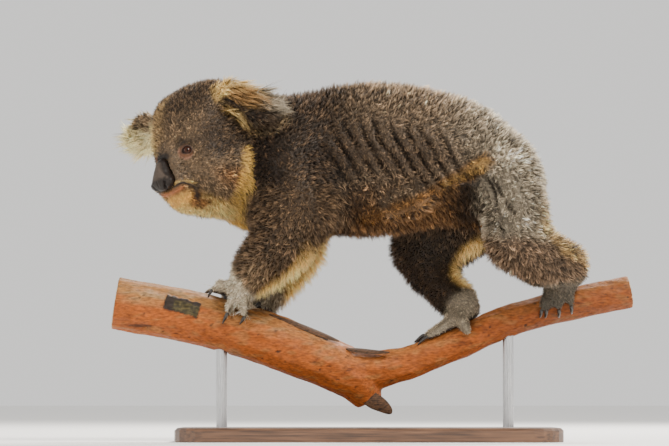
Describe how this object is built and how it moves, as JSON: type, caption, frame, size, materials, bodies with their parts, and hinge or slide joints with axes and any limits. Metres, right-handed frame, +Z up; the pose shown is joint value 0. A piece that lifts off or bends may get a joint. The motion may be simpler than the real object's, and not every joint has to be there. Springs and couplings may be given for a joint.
{
  "type": "koala display model",
  "caption": "Life-size still koala walking along a forked gum branch, head turned to its left, with shaggy fur, held on a flat display stand by short rods.",
  "frame": {"origin": "centre of the display base's underside", "axes": "+Z up, the koala walks towards -X, its left side faces -Y"},
  "size_m": [0.7675, 0.28, 0.5307],
  "materials": {
    "coat": "dense matt fur, grizzled grey-brown with cream throat, chest and ear fringe",
    "nose_skin": "bare, finely pebbled, satin",
    "eye": "wet gloss, dark brown",
    "claw": "worn horn, satin",
    "bark": "smooth gum bark, matt",
    "base": "dark stained, satin",
    "steel": "brushed"
  },
  "bodies": {
    "root": {"head": "coat", "neck": "coat", "trunk": "coat", "upper_arm_left": "coat", "forearm_left": "coat", "hand_left": "coat", "upper_arm_right": "coat", "forearm_right": "coat", "hand_right": "coat", "thigh_left": "coat", "shank_left": "coat", "foot_left": "coat", "thigh_right": "coat", "shank_right": "coat", "foot_right": "coat", "ear_left": "coat", "ear_right": "coat", "nose": "nose_skin", "eye_left": "eye", "eye_right": "eye", "claw_hand_left_thumb": "claw", "claw_hand_left_second": "claw", "claw_hand_left_third": "claw", "claw_hand_left_fourth": "claw", "claw_hand_left_fifth": "claw", "claw_foot_left_second": "claw", "claw_foot_left_third": "claw", "claw_foot_left_fourth": "claw", "claw_foot_left_fifth": "claw", "claw_hand_right_thumb": "claw", "claw_hand_right_second": "claw", "claw_hand_right_third": "claw", "claw_hand_right_fourth": "claw", "claw_hand_right_fifth": "claw", "claw_foot_right_second": "claw", "claw_foot_right_third": "claw", "claw_foot_right_fourth": "claw", "claw_foot_right_fifth": "claw", "perch_branch": "bark", "stand_base": "base", "stand_rod_front": "steel", "stand_rod_rear": "steel"}
  },
  "joints": []
}
